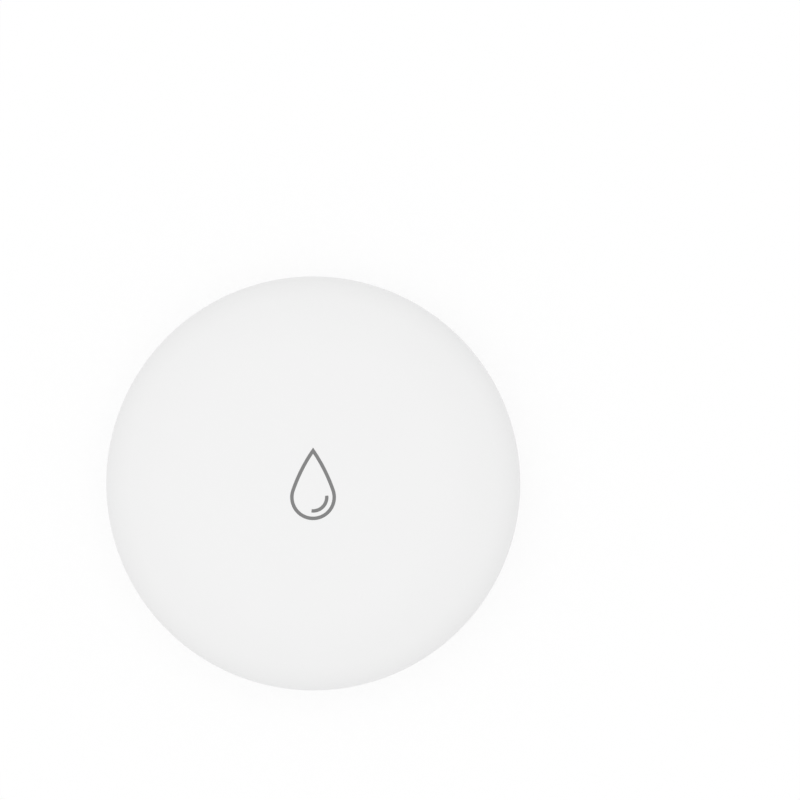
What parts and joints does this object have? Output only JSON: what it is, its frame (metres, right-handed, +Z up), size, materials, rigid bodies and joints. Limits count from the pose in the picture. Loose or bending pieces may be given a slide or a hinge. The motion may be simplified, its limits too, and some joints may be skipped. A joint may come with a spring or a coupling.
{
  "type": "water leak sensor",
  "caption": "Round puck-shaped water leak sensor: a domed white housing with a drop mark, pressed at its centre, on a twist-off base with two probes.",
  "frame": {"origin": "centre of the bottom face of the base, on the surface that the sensor stands on", "axes": "+Z up through the dome; +Y towards the tip of the drop mark; the rim notches lie at +X and -X"},
  "size_m": [0.05, 0.05, 0.0147],
  "materials": {
    "white_plastic": "fine satin, moulded, opaque white",
    "pale_plastic": "fine satin, moulded, slightly greyer white",
    "grey_print": "flat grey ink inlay",
    "stainless_steel": "turned and passivated",
    "plated_steel": "nickel plated",
    "silicone": "translucent grey silicone",
    "foam": "closed-cell foam",
    "board_laminate": "green solder mask",
    "cell_paste": "pressed powder, sealed in the cell",
    "black_plastic": "moulded, fine matt",
    "spring_brass": "gold-flashed spring strip",
    "led_lens": "clear epoxy",
    "ceramic": "fired ceramic",
    "capacitor_yellow": "moulded, fine matt"
  },
  "bodies": {
    "base": {"base_cover": "white_plastic", "probe_front": "stainless_steel", "probe_back": "stainless_steel", "probe_nuts": "stainless_steel", "probe_seals": "silicone", "battery_pad": "foam"},
    "seal_ring": {"battery_seal": "silicone"},
    "housing": {"lower_housing": "pale_plastic", "top_shell": "white_plastic", "case_seal": "silicone", "case_screws": "plated_steel", "circuit_board": "board_laminate", "cell_can": "plated_steel", "cell_core": "cell_paste", "cell_grommet": "black_plastic", "cell_cap": "plated_steel", "negative_contact": "spring_brass", "positive_contact": "spring_brass", "probe_contact_front": "spring_brass", "probe_contact_back": "spring_brass", "switch_housing": "black_plastic", "switch_cover": "plated_steel", "switch_snap": "stainless_steel", "switch_terminals": "plated_steel", "status_led": "led_lens", "radio_chip": "black_plastic", "crystal": "plated_steel", "antenna": "ceramic", "storage_capacitor": "capacitor_yellow", "passive_parts": "ceramic"},
    "button": {"button_disc": "white_plastic", "drop_mark": "grey_print", "switch_plunger": "black_plastic"}
  },
  "joints": [
    {"name": "housing_lift", "type": "slide", "parent": "base", "child": "seal_ring", "axis": [0, 0, 1], "range_m": [0, 0.015]},
    {"name": "housing_twist", "type": "hinge", "parent": "seal_ring", "child": "housing", "pos_m": [0, 0, 0], "axis": [0, 0, 1], "range_deg": [0, 360]},
    {"name": "button_press", "type": "slide", "parent": "housing", "child": "button", "axis": [0, 0, -1], "range_m": [0, 0.00025], "stiffness_N_per_m": 2000, "springref_m": -0.0003}
  ],
  "couplings": [
    {"joint": "housing_lift", "follows": "housing_twist", "m_per_rad": 0.0023873}
  ]
}
